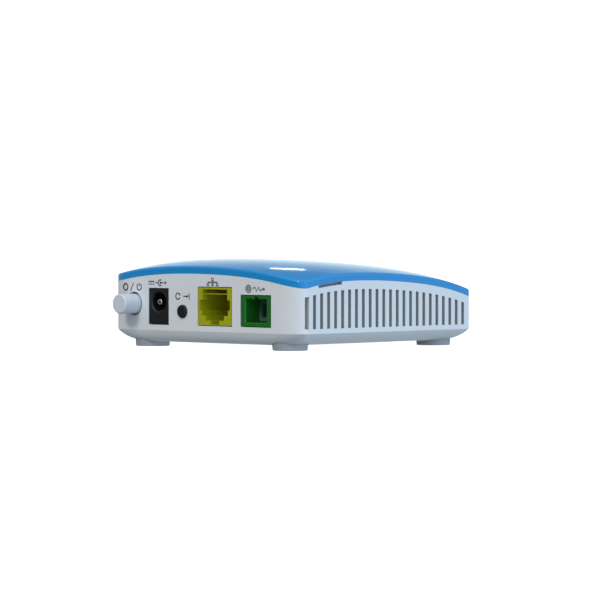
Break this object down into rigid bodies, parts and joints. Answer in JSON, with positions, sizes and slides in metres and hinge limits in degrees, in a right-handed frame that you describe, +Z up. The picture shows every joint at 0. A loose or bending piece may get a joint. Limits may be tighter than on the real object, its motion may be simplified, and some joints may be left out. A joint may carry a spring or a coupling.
{
  "type": "optical network terminal",
  "caption": "Small square optical network terminal with a domed cover, side vents, a fibre adapter, a LAN socket, a DC inlet, a power button and a reset button.",
  "frame": {"origin": "on the surface that the feet stand on, below the middle of the overall box, power button included", "axes": "+Z up; the wall with the sockets and buttons faces -Y; +X is the side of the optical adapter; vents face +X and -X"},
  "size_m": [0.0874, 0.0936, 0.0293],
  "materials": {
    "shell_grey": "fine satin moulded texture",
    "cover_blue": "glossy moulded",
    "foot_rubber": "matt",
    "screw_steel": "zinc plated",
    "board_green": "solder mask",
    "lan_yellow": "moulded",
    "contact_gold": "gold plated",
    "socket_black": "moulded",
    "pin_nickel": "nickel plated",
    "adapter_green": "moulded",
    "ceramic_white": "polished ceramic",
    "latch_pale": "moulded",
    "boot_green": "matt",
    "fibre_white": "smooth jacket",
    "module_metal": "plain",
    "button_grey": "satin moulded",
    "reset_black": "satin moulded",
    "led_clear": "clear resin",
    "guide_clear": "clear moulded",
    "chip_black": "moulded",
    "pad_blue": "soft",
    "sink_aluminium": "extruded",
    "ferrite_grey": "sintered",
    "capacitor_sleeve": "can",
    "ceramic_tan": "fired",
    "label_white": "printed film, left blank"
  },
  "bodies": {
    "casing": {"base_shell": "shell_grey", "top_cover": "cover_blue", "foot_rear_left": "foot_rubber", "foot_rear_right": "foot_rubber", "foot_front_left": "foot_rubber", "foot_front_right": "foot_rubber", "case_screws": "screw_steel", "board_screws": "screw_steel", "main_board": "board_green", "lan_jack_housing": "lan_yellow", "lan_jack_contacts": "contact_gold", "dc_jack_housing": "socket_black", "dc_jack_pin": "pin_nickel", "dc_jack_contact": "pin_nickel", "optical_adapter": "adapter_green", "adapter_sleeve": "ceramic_white", "adapter_latch": "latch_pale", "pigtail_plug": "adapter_green", "pigtail_ferrule": "ceramic_white", "pigtail_boot": "boot_green", "pigtail_fibre": "fibre_white", "fibre_guides": "latch_pale", "optical_module": "module_metal", "power_switch_body": "socket_black", "reset_switch_body": "socket_black", "status_leds": "led_clear", "light_guide": "guide_clear", "main_chip": "chip_black", "memory_chip": "chip_black", "flash_chip": "chip_black", "laser_driver_chip": "chip_black", "regulator_chips": "chip_black", "lan_transformer": "chip_black", "thermal_pad": "pad_blue", "heat_sink": "sink_aluminium", "power_inductors": "ferrite_grey", "clock_crystal": "module_metal", "shield_can": "module_metal", "capacitors": "capacitor_sleeve", "small_parts": "ceramic_tan", "rating_label": "label_white"},
    "power_button": {"power_button": "button_grey", "power_switch_plunger": "socket_black"},
    "reset_button": {"reset_button": "reset_black"}
  },
  "joints": [
    {"name": "power_button_slide", "type": "slide", "parent": "casing", "child": "power_button", "axis": [0, 1, 0], "range_m": [0, 0.003], "stiffness_N_per_m": 300, "springref_m": -0.001},
    {"name": "reset_button_slide", "type": "slide", "parent": "casing", "child": "reset_button", "axis": [0, 1, 0], "range_m": [0, 0.0003], "stiffness_N_per_m": 600, "springref_m": -0.0005}
  ]
}
